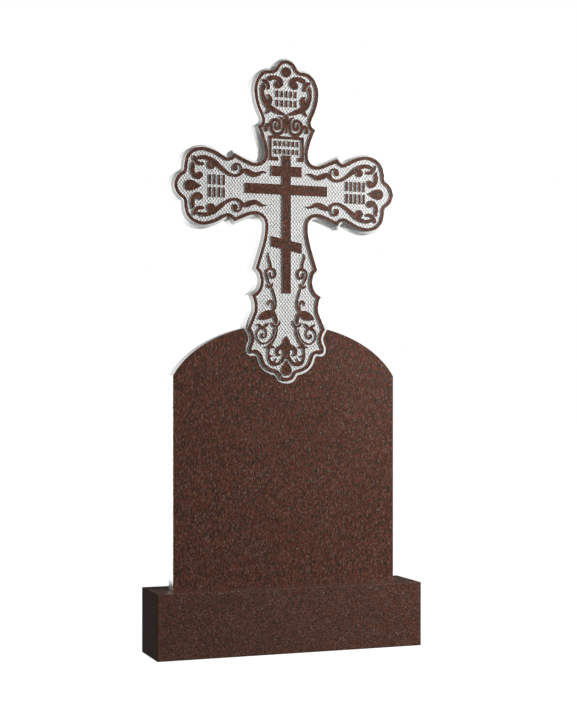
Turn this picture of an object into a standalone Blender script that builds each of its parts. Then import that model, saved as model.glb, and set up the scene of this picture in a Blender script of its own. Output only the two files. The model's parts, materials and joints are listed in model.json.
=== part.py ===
"""Cross headstone: a granite slab with a carved cross growing out of its rounded top, on a base block.

The front looks towards -Y, the height runs along +Z, and the origin is the middle of the base's underside.
"""

import math

import bmesh
import bpy
import numpy as np

# Base block
BASE_WIDTH = 0.712
BASE_DEPTH = 0.151
BASE_HEIGHT = 0.166
BASE_ARRIS = 0.002
SOCKET_DEPTH = 0.025
GAP = 0.0003

# Slab
SLAB_WIDTH = 0.601
SLAB_THICKNESS = 0.040
SHOULDER_HEIGHT = 0.5385
ARCH_RISE = 0.134
ARCH_OVERSHOOT = 1.068

# Cross, a hair narrower than the slab. Its span and height are taken over the ridge that follows its outline
CROSS_SPAN = 0.994 * SLAB_WIDTH
CROSS_HEIGHT = 0.823
CENTRE_HEIGHT = 1.0155
RIDGE_WIDTH = 0.0085
MARGIN_WIDTH = 0.0063
RELIEF = 0.0035
GROUND_RISE = 0.0008

# Smoothness of the carving
CURVE_STEP = 1.2
OUTLINE_TOLERANCE = 0.00045
ORNAMENT_TOLERANCE = 0.00078

# Colours
GRANITE_SLAB = (0.088, 0.042, 0.034, 1.0)
GRANITE_BASE = (0.080, 0.040, 0.034, 1.0)

# The drawing of the cross is in millimetres from its crossing, for a cross of this span and height
DRAWN_SPAN = 596.4
DRAWN_TOP = 333.0
DRAWN_FOOT = -491.0

# Right side of the ridge's outer edge, one smooth run between each two cusps
TOP_LOBE = [
    (0, 333), (13, 330), (23, 321.5), (30.5, 309.5), (37.5, 305), (52, 304), (67, 297.5), (80, 281.5),
    (87, 260), (86.5, 238), (80, 210.5), (70, 187.5), (66.5, 176.5), (69, 166), (78.5, 158),
]
NECK = [
    (78.5, 158), (72, 144), (62, 114.5), (58.5, 95), (61.5, 77), (71, 67.8), (86, 65), (102, 69.5),
    (142, 87.5),
]
ARM_LOBE = [
    (142, 87.5), (147.5, 78.5), (157, 74.5), (171, 80), (190, 90.3), (222, 98), (250, 91), (266, 75),
    (271.5, 57), (274.5, 36.5), (286, 27), (294.5, 15), (298.2, 0),
]
SHAFT = [
    (142, -87.5), (102, -70), (85, -66), (70, -70), (60.5, -81), (58, -96), (60, -119), (66, -145),
    (84.3, -204),
]
UPPER_NOTCH = [(84.3, -204), (75, -215), (70.5, -232), (72, -248), (80.5, -263.5), (94, -273.5)]
LOWER_NOTCH = [(94, -273.5), (88.5, -286), (87, -312), (94, -330), (106, -358)]
FOOT = [
    (106, -358), (98.5, -370), (95.5, -383), (97, -392), (102.5, -406), (102, -416), (96, -421),
    (85, -419.2), (76, -424.5), (66.5, -447.5), (56, -459.5), (41, -467), (28, -470.8), (22, -478.5),
    (15.5, -487.5), (0, -491),
]

# Three-bar cross, in the drawing's millimetres
UPRIGHT_HALF_WIDTH = 12.0
UPRIGHT_TOP = 88.5
UPRIGHT_FOOT = -265.5
BAR_HEIGHT = 26.2
TOP_BAR = (41.5, 47.5)
LONG_BAR = (111.8, 0.5)
FOOT_BAR = (42.0, -141.0)
FOOT_BAR_DROP = 8.4

# Ornament on the axis of the cross: centre line points with the width of the stroke there (x, z, width)
AXIS_STROKES = [
    [(0, 195, 0.5), (0, 187, 13), (0, 183, 7.5), (0, 180, 14), (0, 166, 18)],
    [(0, 168, 3), (0, 156, 3.2), (0, 148.5, 6.5)],
    [(0, -375, 0.5), (0, -383, 13), (0, -391, 19), (0, -403, 21), (0, -425, 17)],
]

# Ornament that stands on both sides of the axis, drawn on the right
SIDE_STROKES = [
    # Hook, small leaf and lyre leaf of the top lobe
    [(46.5, 282, 11.5), (41, 285, 12), (32, 287, 10.5), (23, 285, 11.5), (16, 279, 13), (14.5, 270, 11)],
    [(49.2, 259, 8), (49.4, 264, 8.5), (52.5, 271, 9.5), (57, 275.2, 9.5), (61.5, 277, 8.5)],
    [(63.5, 269, 3), (63, 261, 11.5), (65, 249, 8.3), (62, 234, 11.5), (54.5, 220, 15), (43, 208.5, 13),
     (30, 202, 12.5), (18, 196.8, 9.5), (9, 194.5, 7.5)],
    [(48.5, 240, 6), (45, 234, 11), (45, 226, 13), (51, 214, 14)],
    [(45, 207, 12), (49, 199.5, 8.5), (55, 193.8, 4.5)],
    # Spiral, ear and side curl of the neck
    [(29.5, 169, 5), (31.2, 162.5, 7), (26.5, 155.8, 8), (20, 158.5, 7.5), (18.5, 168, 7), (21.5, 176, 7.5),
     (29, 179, 8.3), (38, 175, 7.5), (42, 165.5, 6.5), (40.5, 153, 7.5), (33.5, 144.8, 8), (25, 142, 8),
     (14, 145.5, 7), (9.2, 154, 6.5), (8, 165, 7), (8.5, 175, 6.5), (12, 182.5, 5.5), (19.5, 186.3, 3)],
    [(42, 164.3, 8), (49.5, 164.3, 9.5), (55.3, 159.5, 9), (55.3, 151.5, 10)],
    # Flame, spiral, cup, stem and leaves of the shaft
    [(47.8, -162, 0.5), (49.2, -172, 4), (45.8, -183, 5), (43.2, -193, 5.5), (43.2, -202, 7)],
    [(46, -242.5, 3.5), (50.5, -232, 5), (54.5, -222, 5.2), (55, -213.5, 5.5), (51.3, -206.5, 5.5),
     (44, -203.2, 6), (36, -204.8, 6), (31.2, -210.5, 6), (30.6, -218, 6), (34, -224.8, 6.5),
     (40, -226.3, 6.5), (44.8, -221.5, 5.6), (44.6, -215.5, 6)],
    [(38, -239.5, 1), (39.3, -246, 5.5), (44.5, -250, 6.3), (50, -248.8, 5.5), (53, -243.5, 1)],
    [(39, -253.5, 3), (36.5, -260, 5), (32.3, -274, 5), (29, -288, 5), (29.5, -300, 4.8), (33.5, -309, 5),
     (37, -314, 6)],
    [(36.8, -312, 5), (36, -300, 4.4), (37, -291, 4.6), (41.5, -286, 6.5), (46.7, -288.5, 6),
     (48.8, -293.5, 3.6), (48, -297.5, 1)],
    [(36, -315, 9), (42, -318, 17), (51, -321.5, 22.5), (62, -325.7, 19), (70, -329, 11), (76, -332.3, 1)],
    [(35.5, -314, 7), (31, -325, 9.5), (28.7, -336, 9.5), (28.6, -341, 8.5)],
    # Cup, tendril, sprout and scrolls of the foot
    [(17, -335, 0.6), (18.8, -344, 3.6), (25, -350, 5), (31, -350.3, 5.4), (37, -347.3, 5), (40.5, -340, 1)],
    [(33, -357.5, 3.6), (34, -368, 3.2), (39, -380, 3.5), (49, -391, 4), (63, -395.3, 3.6),
     (74.5, -389.5, 3.8), (80.6, -377, 3.4), (79.3, -365, 4), (73, -357.8, 5.5), (65, -355.5, 5.5),
     (57.5, -359.5, 4.6), (54.2, -369, 3.6), (57, -378, 4), (63.5, -381, 4.4), (67.8, -376.5, 5),
     (65.5, -371.8, 5.5)],
    [(47, -342.5, 0.6), (54, -347.8, 7.5), (62.5, -354.5, 4.6)],
    [(66, -354.5, 6), (71, -350.3, 6.5), (76, -346.8, 4.4), (80.5, -347.5, 0.6)],
    [(26, -354.5, 4.5), (25.8, -362, 4.2), (29, -375, 4.2), (34.5, -387, 4.5), (41, -396, 7), (48, -401.5, 6),
     (54, -404.3, 4.4), (59, -404, 2)],
    [(30.7, -402.5, 0.6), (36, -404.8, 5.5), (43, -401, 8.5)],
    [(46, -400, 6), (48.3, -414, 4.8), (48.2, -430, 5.5), (44.5, -440, 7), (37.5, -446.5, 9), (29, -448, 8.5),
     (19, -445.5, 7.5), (10, -436.5, 8), (5.2, -425, 8), (5, -412, 8)],
    [(35.5, -425.5, 0.6), (40, -427.8, 4.5), (46.5, -425.5, 5)],
    [(28, -432, 0.6), (29.6, -437.5, 3), (34, -443, 4)],
    [(6, -400, 15), (14, -404, 12), (22, -407.8, 9.5), (25.5, -415, 8.3), (24, -422, 7.6), (19.5, -424.4, 5),
     (15.3, -422.3, 1)],
]

# Ornament of an arm, drawn above its axis on the right
ARM_STROKES = [
    # Flame tail that runs on as the stem and ends in the upper hook
    [(53.5, 40.5, 0.6), (59, 42.7, 3.8), (66, 42.5, 5.5), (76, 37.2, 9.5), (86, 35, 12), (98, 38.4, 14),
     (110, 43.5, 12), (118, 41.5, 9.5), (124.5, 34.8, 7), (131, 31, 7), (140, 29.8, 7.2), (150, 32, 7.6),
     (165, 40.3, 8.2), (178, 50.3, 10.5), (190, 60, 12.6), (200, 66.3, 12.2), (210, 70.5, 10.4),
     (219, 72.6, 9.8), (228, 71.6, 10), (235, 69.5, 8)],
    # Volute, small leaf and outer hook
    [(121.5, 41, 7), (122.3, 52, 3.8), (126, 58.3, 4.2), (132, 60, 5.4), (138.2, 57.2, 7.5), (140.5, 51, 8)],
    [(224.5, 55.7, 8), (231, 55.1, 8.6), (237.5, 57.7, 8.5), (242.5, 62.9, 9), (246.3, 71.5, 8.5)],
    [(252.3, 59.2, 1), (249.3, 51.5, 8.5), (250.2, 42, 10.5), (248.8, 32.5, 10), (243.8, 25.5, 11),
     (237, 22.7, 13), (232, 24.5, 13)],
]
ARM_DROP = [(226.8, 0, 0.6), (237, 0, 12), (247, 0, 23.5), (256.4, 0, 27.6)]
FOOT_DROP = [(0, -437, 0.6), (0, -445, 9.5), (0, -454, 22.5), (0, -462.7, 29)]

# Round bosses (x, z, radius): on the axis, beside it, and three in each quarter of the arms
AXIS_BOSS = (0, 302.4, 13.3)
SIDE_BOSS = (22.5, 268.5, 9.8)
VOLUTE_BOSS = (138.2, 49.2, 7.4)
BUD_BOSS = (202, 53.3, 10.6)
HOOK_BOSS = (231.4, 27.6, 8.4)

# Frame round the tablet in the neck, with the two stalks on it: bars as (left, right, bottom, top)
FRAME_BARS = [
    (-47.5, 47.5, 130.2, 137.8),
    (-47.5, -40.4, 74, 134),
    (40.4, 47.5, 74, 134),
    (-44, -22, 73.9, 84.3),
    (31, 44, 73.9, 84.3),
    (-34, -18.5, 134, 144),
    (18.5, 34, 134, 144),
]

# Places of the inscriptions, for two rows of plain upright strokes: left, right, bottom, top, strokes a row
INSCRIPTIONS = [
    (-211, -162, -27, 30, 4),
    (161, 221, -27, 30, 5),
    (-31, 31, 213, 254, 5),
    (-36, 36, 91, 125, 6),
]
STROKE_WIDTH = 6.0
ROW_GAP = 7.0

# How far each side of a drawn line stands outside its drawn width
LINE_GAIN = 0.35


def smooth(points, before=None, after=None):
    """A Catmull-Rom curve through the points; before and after give its direction at the two ends."""
    pts = [np.array(p, float) for p in points]
    start = np.array(before, float) if before else 2 * pts[0] - pts[1]
    end = np.array(after, float) if after else 2 * pts[-1] - pts[-2]
    pts = [start, *pts, end]
    curve = []
    for a, b, c, d in zip(pts, pts[1:], pts[2:], pts[3:]):
        spans = [math.sqrt(math.dist(p[:2], q[:2])) for p, q in ((a, b), (b, c), (c, d))]
        t0, t1 = 0.0, spans[0]
        t2 = t1 + spans[1]
        t3 = t2 + spans[2]
        steps = max(2, math.ceil(math.dist(b[:2], c[:2]) / CURVE_STEP))
        for t in np.linspace(t1, t2, steps, endpoint=False):
            ab = a + (b - a) * (t - t0) / (t1 - t0)
            bc = b + (c - b) * (t - t1) / (t2 - t1)
            cd = c + (d - c) * (t - t2) / (t3 - t2)
            abc = ab + (bc - ab) * (t - t0) / (t2 - t0)
            bcd = bc + (cd - bc) * (t - t1) / (t3 - t1)
            curve.append(abc + (bcd - abc) * (t - t1) / (t2 - t1))
    curve.append(pts[-2])
    return curve


def thin(points, tolerance):
    """Leaves out the points that lie within the tolerance of the line through their neighbours."""
    if len(points) < 3:
        return list(points)
    (ax, az), (bx, bz) = points[0], points[-1]
    length = math.hypot(bx - ax, bz - az)
    if length < 1e-9:
        gaps = [math.hypot(x - ax, z - az) for x, z in points]
    else:
        gaps = [abs((bx - ax) * (z - az) - (bz - az) * (x - ax)) / length for x, z in points]
    worst = max(range(len(points)), key=gaps.__getitem__)
    if gaps[worst] <= tolerance:
        return [points[0], points[-1]]
    return thin(points[:worst + 1], tolerance)[:-1] + thin(points[worst:], tolerance)


def place(x, z):
    """From the drawing's millimetres to metres on the headstone."""
    across = CROSS_SPAN / DRAWN_SPAN
    upwards = CROSS_HEIGHT / (DRAWN_TOP - DRAWN_FOOT)
    return x * across, BASE_HEIGHT + CENTRE_HEIGHT + z * upwards


def mirrored(points):
    """The same points on the other side of the axis, in the other order, for one closed loop."""
    return [(-x, *rest) for x, *rest in reversed(points)]


def whole_outline(half):
    """A closed outline from its right half, whose first and last points are on the axis."""
    return half + mirrored(half)[1:-1]


def ridge_half():
    """The right half of the ridge's outer edge in metres, from the top of the cross to its foot."""
    arm = ARM_LOBE + [(x, -z) for x, z in reversed(ARM_LOBE)][1:]
    runs = [
        smooth(TOP_LOBE, before=mirrored(TOP_LOBE[:2])[0]),
        smooth(NECK),
        smooth(arm),
        smooth(SHAFT),
        smooth(UPPER_NOTCH),
        smooth(LOWER_NOTCH),
        smooth(FOOT, after=mirrored(FOOT[-2:])[1]),
    ]
    half = [point for run in runs for point in run[:-1]] + [runs[-1][-1]]
    return [place(x, z) for x, z in half]


def moved_outline(outline, distance):
    """The closed outline moved outwards by the distance (inwards where it is negative), with mitred cusps.

    Points that would come nearer to the outline than that are left out, which closes tight hollows neatly.
    """
    pts = np.array(outline)
    ahead = np.roll(pts, -1, axis=0) - pts
    ahead /= np.linalg.norm(ahead, axis=1)[:, None]
    normal_after = np.stack([-ahead[:, 1], ahead[:, 0]], axis=1)
    normal_before = np.roll(normal_after, 1, axis=0)
    share = 1 + (normal_after * normal_before).sum(axis=1)
    moved = pts + distance * (normal_after + normal_before) / share[:, None]
    kept = []
    for point in moved:
        if np.hypot(*(pts - point).T).min() > abs(distance) * 0.9999:
            kept.append((float(point[0]), float(point[1])))
    return kept


def right_half(outline):
    """The part of a closed outline right of the axis, from its top to its foot, ended on the axis."""
    right = [p for p in outline if p[0] > 1e-6]
    axis = [p for p in outline if abs(p[0]) <= 1e-6]
    top = max(axis, key=lambda p: p[1])
    foot = min(axis, key=lambda p: p[1])
    return [(0.0, top[1])] + right + [(0.0, foot[1])]


def arch_height(x):
    """Height of the slab's rounded top above the ground at x."""
    rise = ARCH_RISE / (1 - math.sqrt(1 - 1 / ARCH_OVERSHOOT ** 2))
    crown = BASE_HEIGHT + SHOULDER_HEIGHT + ARCH_RISE
    part = x / (ARCH_OVERSHOOT * SLAB_WIDTH / 2)
    return crown - rise + rise * math.sqrt(max(0.0, 1 - part ** 2))


def arch_meeting(half):
    """Where the margin of the cross runs into the arch: index of the last point above it, and the place."""
    for index, (a, b) in enumerate(zip(half, half[1:])):
        above_a = a[1] - arch_height(a[0])
        above_b = b[1] - arch_height(b[0])
        if a[0] < SLAB_WIDTH / 2 and above_b <= 0 < above_a:
            share = above_a / (above_a - above_b)
            return index, (a[0] + (b[0] - a[0]) * share, a[1] + (b[1] - a[1]) * share)
    raise ValueError("the cross does not reach the slab")


def slab_outline(margin_half):
    """The silhouette of slab and cross as one closed outline."""
    index, meeting = arch_meeting(margin_half)
    reach = SLAB_WIDTH / 2
    half_span = ARCH_OVERSHOOT * reach
    start = math.acos(meeting[0] / half_span)
    end = math.acos(reach / half_span)
    arch = []
    for angle in np.linspace(start, end, 40):
        x = half_span * math.cos(angle)
        arch.append((x, arch_height(x)))
    foot = BASE_HEIGHT - SOCKET_DEPTH + GAP
    half = thin(margin_half[:index + 1] + [meeting], OUTLINE_TOLERANCE)
    half += thin(arch, OUTLINE_TOLERANCE)[1:]
    half.append((reach, foot))
    return half + mirrored(half)[:-1]


def face_cut_outline(margin_half):
    """All of the slab's face outside the margin of the cross, and well beyond the slab's edges."""
    index, meeting = arch_meeting(margin_half)
    reach = SLAB_WIDTH / 2 + MARGIN_WIDTH
    low = BASE_HEIGHT - SOCKET_DEPTH - MARGIN_WIDTH
    half = [(reach, meeting[1])] + thin([meeting] + margin_half[index + 1:], OUTLINE_TOLERANCE)
    return half + mirrored(half)[1:] + [(-reach, low), (reach, low)]


def stroke_outline(points):
    """The outline of a line of varying width; an end that has width is round."""
    line = smooth(points)
    left, right = [], []
    for index, (x, z, width) in enumerate(line):
        before = line[max(index - 1, 0)]
        after = line[min(index + 1, len(line) - 1)]
        length = math.dist(before[:2], after[:2])
        across = (before[1] - after[1]) / length, (after[0] - before[0]) / length
        half = width / 2 + LINE_GAIN
        left.append((x + across[0] * half, z + across[1] * half))
        right.append((x - across[0] * half, z - across[1] * half))
    far_end = round_end(right[-1], left[-1], line[-1][2])
    near_end = round_end(left[0], right[0], line[0][2])
    tolerance = ORNAMENT_TOLERANCE * DRAWN_SPAN / CROSS_SPAN
    sides = thin(left, tolerance) + list(reversed(far_end)) + list(reversed(thin(right, tolerance)))
    return sides + list(reversed(near_end))


def round_end(start, end, width):
    """Points of the half circle from start to end, to the right of that way, without the two ends."""
    if width < 2.5:
        return []
    centre = ((start[0] + end[0]) / 2, (start[1] + end[1]) / 2)
    spoke = (start[0] - centre[0], start[1] - centre[1])
    steps = 4 if width < 9 else 6
    arc = []
    for step in range(1, steps):
        turn = math.pi * step / steps
        arc.append((
            centre[0] + spoke[0] * math.cos(turn) - spoke[1] * math.sin(turn),
            centre[1] + spoke[0] * math.sin(turn) + spoke[1] * math.cos(turn),
        ))
    return arc


def circle_outline(x, z, radius):
    """A round boss."""
    sides = 14
    turns = [2 * math.pi * side / sides for side in range(sides)]
    return [(x + radius * math.cos(turn), z + radius * math.sin(turn)) for turn in turns]


def bar_outline(left, right, bottom, top):
    """An upright rectangle."""
    return [(left, bottom), (right, bottom), (right, top), (left, top)]


def three_bar_cross():
    """Upright, two level bars and the slanting foot bar."""
    half_bar = BAR_HEIGHT / 2
    bars = [bar_outline(-UPRIGHT_HALF_WIDTH, UPRIGHT_HALF_WIDTH, UPRIGHT_FOOT, UPRIGHT_TOP)]
    for reach, height in (TOP_BAR, LONG_BAR):
        bars.append(bar_outline(-reach, reach, height - half_bar, height + half_bar))
    reach, height = FOOT_BAR
    bars.append([
        (-reach, height + FOOT_BAR_DROP - half_bar),
        (reach, height - FOOT_BAR_DROP - half_bar),
        (reach, height - FOOT_BAR_DROP + half_bar),
        (-reach, height + FOOT_BAR_DROP + half_bar),
    ])
    return bars


def inscription_strokes():
    """Two rows of plain upright strokes in each place that carries an inscription."""
    strokes = []
    for left, right, bottom, top, count in INSCRIPTIONS:
        pitch = (right - left) / count
        row_height = (top - bottom - ROW_GAP) / 2
        for row_foot in (bottom, top - row_height):
            for index in range(count):
                middle = left + pitch * (index + 0.5)
                half = STROKE_WIDTH / 2
                strokes.append(bar_outline(middle - half, middle + half, row_foot, row_foot + row_height))
    return strokes


def ornament_outlines():
    """Every raised motif inside the ridge, as closed outlines in the drawing's millimetres."""
    flip_x = lambda outline: [(-x, z) for x, z in outline]
    flip_z = lambda outline: [(x, -z) for x, z in outline]
    outlines = three_bar_cross() + inscription_strokes()
    outlines += [bar_outline(*bar) for bar in FRAME_BARS]
    outlines += [stroke_outline(stroke) for stroke in AXIS_STROKES + [FOOT_DROP]]
    outlines.append(circle_outline(*AXIS_BOSS))
    beside = [stroke_outline(stroke) for stroke in SIDE_STROKES]
    beside += [circle_outline(*SIDE_BOSS), stroke_outline(ARM_DROP)]
    arm = [stroke_outline(stroke) for stroke in ARM_STROKES]
    arm += [circle_outline(*boss) for boss in (VOLUTE_BOSS, BUD_BOSS, HOOK_BOSS)]
    beside += arm + [flip_z(outline) for outline in arm]
    outlines += beside + [flip_x(outline) for outline in beside]
    return outlines


def collection(name):
    """A new collection in the scene."""
    made = bpy.data.collections.new(name)
    bpy.context.scene.collection.children.link(made)
    return made


def plate(name, outlines, middle_y, half_depth, home):
    """A flat upright solid with the given outlines, as a mesh, its half depth to each side of middle_y."""
    curve = bpy.data.curves.new(name, "CURVE")
    curve.dimensions = "2D"
    curve.fill_mode = "BOTH"
    curve.extrude = half_depth
    for outline in outlines:
        spline = curve.splines.new("POLY")
        spline.points.add(len(outline) - 1)
        for point, (x, z) in zip(spline.points, outline):
            point.co = (x, z, 0.0, 1.0)
        spline.use_cyclic_u = True
    drawn = bpy.data.objects.new(name + "_drawn", curve)
    drawn.rotation_euler.x = math.pi / 2
    drawn.location.y = middle_y
    home.objects.link(drawn)
    bpy.context.view_layer.update()
    evaluated = drawn.evaluated_get(bpy.context.evaluated_depsgraph_get())
    mesh = bpy.data.meshes.new_from_object(evaluated)
    work = bmesh.new()
    work.from_mesh(mesh)
    bmesh.ops.remove_doubles(work, verts=work.verts, dist=0.000005)
    bmesh.ops.dissolve_limit(work, angle_limit=0.001, verts=work.verts, edges=work.edges)
    bmesh.ops.recalc_face_normals(work, faces=work.faces)
    work.to_mesh(mesh)
    work.free()
    solid = bpy.data.objects.new(name, mesh)
    solid.matrix_world = drawn.matrix_world
    home.objects.link(solid)
    bpy.data.objects.remove(drawn)
    bpy.data.curves.remove(curve)
    return solid


def box(name, size, centre, home):
    """A box of the given size."""
    bpy.ops.mesh.primitive_cube_add(size=1.0, location=centre)
    solid = bpy.context.object
    solid.name = name
    solid.scale = size
    bpy.ops.object.transform_apply(location=False, rotation=False, scale=True)
    for old_home in list(solid.users_collection):
        old_home.objects.unlink(solid)
    home.objects.link(solid)
    return solid


def as_cutter(solid):
    """Shows a solid as the guide that it is."""
    solid.hide_render = True
    solid.display_type = "WIRE"
    return solid


def cut(solid, tool):
    """Takes a tool, or every solid of a collection, out of a solid."""
    modifier = solid.modifiers.new("cut", "BOOLEAN")
    modifier.operation = "DIFFERENCE"
    modifier.solver = "EXACT"
    if isinstance(tool, bpy.types.Collection):
        modifier.operand_type = "COLLECTION"
        modifier.collection = tool
    else:
        modifier.object = tool


def granite(name, colour):
    """Polished granite."""
    material = bpy.data.materials.new(name)
    material.use_nodes = True
    shader = material.node_tree.nodes["Principled BSDF"]
    shader.inputs["Base Color"].default_value = colour
    shader.inputs["Roughness"].default_value = 0.18
    shader.inputs["Metallic"].default_value = 0.0
    return material


def make_base(home, cutters):
    """The base block with its arrises eased, and the shallow socket that the slab stands in."""
    block = box("base_block", (BASE_WIDTH, BASE_DEPTH, BASE_HEIGHT), (0, 0, BASE_HEIGHT / 2), home)
    arris = block.modifiers.new("arris", "BEVEL")
    arris.width = BASE_ARRIS
    arris.segments = 2
    socket_size = (SLAB_WIDTH + 2 * GAP, SLAB_THICKNESS + 2 * GAP, 2 * SOCKET_DEPTH)
    socket = as_cutter(box("socket_cutter", socket_size, (0, 0, BASE_HEIGHT), cutters))
    cut(block, socket)
    block.data.materials.append(granite("granite_base", GRANITE_BASE))
    return block


def make_stele(home, cutters, motifs):
    """The slab and the cross in one stone. The whole front is cut back round the ridge and the ornament:
    to the ground of the cross inside its margin, and a little deeper on the slab."""
    proud = RELIEF + GROUND_RISE
    top_y = -SLAB_THICKNESS / 2 - proud
    ridge = whole_outline(ridge_half())
    margin_half = right_half(moved_outline(ridge, MARGIN_WIDTH))
    outside_half = right_half(moved_outline(ridge, 2 * MARGIN_WIDTH))
    field = thin(right_half(moved_outline(ridge, -RIDGE_WIDTH)), OUTLINE_TOLERANCE)
    ridge_edge = whole_outline(thin(ridge_half(), OUTLINE_TOLERANCE))
    outside_edge = whole_outline(thin(outside_half, OUTLINE_TOLERANCE))

    stele = plate("stele", [slab_outline(margin_half)], -proud / 2, (SLAB_THICKNESS + proud) / 2, home)
    face = as_cutter(plate("face_cutter", [face_cut_outline(margin_half)], top_y, proud, cutters))
    margin = as_cutter(plate("margin_cutter", [outside_edge, ridge_edge], top_y, RELIEF, cutters))
    ground = as_cutter(plate("field_cutter", [whole_outline(field)], top_y, RELIEF, cutters))

    # Each motif is a hair longer than the one before, so that no two of them end in one plane
    for index, outline in enumerate(ornament_outlines()):
        depth = RELIEF * (1.5 + 0.01 * index)
        placed = [place(x, z) for x, z in outline]
        as_cutter(plate(f"motif_{index:03d}", [placed], top_y, depth, motifs))
    cut(ground, motifs)
    cut(stele, margin)
    cut(stele, ground)
    cut(stele, face)
    stele.data.materials.append(granite("granite_slab", GRANITE_SLAB))
    return stele


for old in list(bpy.data.objects):
    bpy.data.objects.remove(old)
headstone = collection("cross_headstone")
guides = collection("cutters")
raised = collection("motifs")
make_base(headstone, guides)
make_stele(headstone, guides, raised)
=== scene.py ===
"""Looks of the cross headstone: polished brown granite with a pale carved cross."""

import json
import math

import bpy
import numpy as np
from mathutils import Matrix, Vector

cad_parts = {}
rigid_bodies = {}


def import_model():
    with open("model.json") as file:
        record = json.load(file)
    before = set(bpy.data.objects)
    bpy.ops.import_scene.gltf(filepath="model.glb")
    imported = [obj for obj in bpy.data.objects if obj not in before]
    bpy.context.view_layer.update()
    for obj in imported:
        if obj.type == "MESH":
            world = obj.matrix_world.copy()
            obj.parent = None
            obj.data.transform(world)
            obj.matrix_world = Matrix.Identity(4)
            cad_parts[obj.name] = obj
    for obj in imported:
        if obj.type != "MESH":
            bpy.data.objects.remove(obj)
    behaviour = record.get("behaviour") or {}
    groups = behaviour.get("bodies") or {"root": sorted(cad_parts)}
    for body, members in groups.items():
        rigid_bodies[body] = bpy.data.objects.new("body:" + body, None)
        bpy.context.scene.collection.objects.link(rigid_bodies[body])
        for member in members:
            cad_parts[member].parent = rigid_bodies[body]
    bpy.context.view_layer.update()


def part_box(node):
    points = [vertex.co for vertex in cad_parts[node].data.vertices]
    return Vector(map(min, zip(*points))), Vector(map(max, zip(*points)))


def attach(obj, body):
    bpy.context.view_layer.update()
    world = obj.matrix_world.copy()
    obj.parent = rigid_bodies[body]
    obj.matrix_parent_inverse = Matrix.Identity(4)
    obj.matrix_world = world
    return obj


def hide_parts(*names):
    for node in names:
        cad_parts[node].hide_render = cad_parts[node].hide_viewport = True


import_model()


# Base block. One block of polished brown granite, sawn square and eased along its arrises.
# Its grain is even in all directions, and a shallow socket in its top takes the foot of the slab.
BASE_ARRIS = 0.002
ARRIS_SEGMENTS = 3
SOCKET_PLAY = 0.0003
BASE_GRAIN = (0.0018, 0.0018, 0.0018)
# Tint that makes the base's granite paler and less red than the slab's: a painted reflection of the pale
# floor in its polish
BASE_PAINTED_REFLECTION = (1.06, 1.16, 1.22)

# Polished granite: what its polish and its crystals look like, dark minerals first
POLISH = 0.2
DARK_POLISH_LOSS = 0.12
FLECK = (0.20, 0.17, 0.15)
FLECK_RARITY = 0.992
CRYSTAL_BEND = 1.1
CRYSTAL_SHARE = 0.95
FINE_SHARE = 0.7
CLOUD_SHARE = 0.16
DARKENING = 0.40
MINERALS = [
    (0.00, (0.008, 0.011, 0.009)),
    (0.20, (0.031, 0.026, 0.020)),
    (0.40, (0.065, 0.027, 0.017)),
    (0.60, (0.117, 0.031, 0.017)),
    (0.80, (0.134, 0.050, 0.032)),
    (1.00, (0.165, 0.098, 0.076)),
]

# Width of the slab, which the socket takes
SLAB_WIDTH = 0.601


def only(piece):
    """Selects one piece alone, ready for an operator."""
    bpy.ops.object.select_all(action="DESELECT")
    piece.select_set(True)
    bpy.context.view_layer.objects.active = piece


def box(name, low, high):
    """A box between two corners."""
    bpy.ops.object.select_all(action="DESELECT")
    low, high = Vector(low), Vector(high)
    bpy.ops.mesh.primitive_cube_add(size=1, location=(low + high) / 2, scale=high - low)
    bpy.ops.object.transform_apply(location=True, rotation=True, scale=True)
    made = bpy.context.object
    made.name = name
    return made


def cut_away(piece, tool):
    """Cuts a tool, or all tools of a collection, out of a piece, and removes them."""
    only(piece)
    cut = piece.modifiers.new("cut", "BOOLEAN")
    cut.operation = "DIFFERENCE"
    cut.solver = "EXACT"
    if isinstance(tool, bpy.types.Collection):
        cut.operand_type = "COLLECTION"
        cut.collection = tool
        used = list(tool.objects)
    else:
        cut.object = tool
        used = [tool]
    bpy.ops.object.modifier_apply(modifier=cut.name)
    for old in used:
        bpy.data.objects.remove(old)


class Value:
    """A value in a material. Arithmetic on it adds Math nodes, and add() any other node."""

    def __init__(self, socket):
        self.socket = socket

    def add(self, kind, inputs, output=0, stops=None, **settings):
        made = self.socket.id_data.nodes.new("ShaderNode" + kind)
        for key, setting in settings.items():
            setattr(made, key, setting)
        if stops:
            ramp = made.color_ramp.elements
            while len(ramp) < len(stops):
                ramp.new(1.0)
            for element, (place, colour) in zip(ramp, stops):
                element.position = place
                element.color = (*colour, 1.0)
        for key, value in inputs.items():
            if isinstance(value, Value):
                self.socket.id_data.links.new(value.socket, made.inputs[key])
            else:
                made.inputs[key].default_value = value
        return Value(made.outputs[output])

    def __add__(self, other):
        return self.add("Math", {0: self, 1: other}, operation="ADD")

    def __mul__(self, other):
        return self.add("Math", {0: self, 1: other}, operation="MULTIPLY")

    def __sub__(self, other):
        return self.add("Math", {0: self, 1: other}, operation="SUBTRACT")

    def __rsub__(self, other):
        return self.add("Math", {0: other, 1: self}, operation="SUBTRACT")

    def above(self, edge, softness):
        """1 where the value is over the edge, 0 where it is under it, with a soft step between."""
        inputs = {"Value": self, "From Min": edge - softness, "From Max": edge + softness}
        return self.add("MapRange", inputs, interpolation_type="SMOOTHSTEP")

    def mix(self, first, second):
        """The first colour where this value is 0, the second where it is 1."""
        return self.add("Mix", {"Factor": self, 6: first, 7: second}, output=2, data_type="RGBA")

    __radd__ = __add__
    __rmul__ = __mul__


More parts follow.
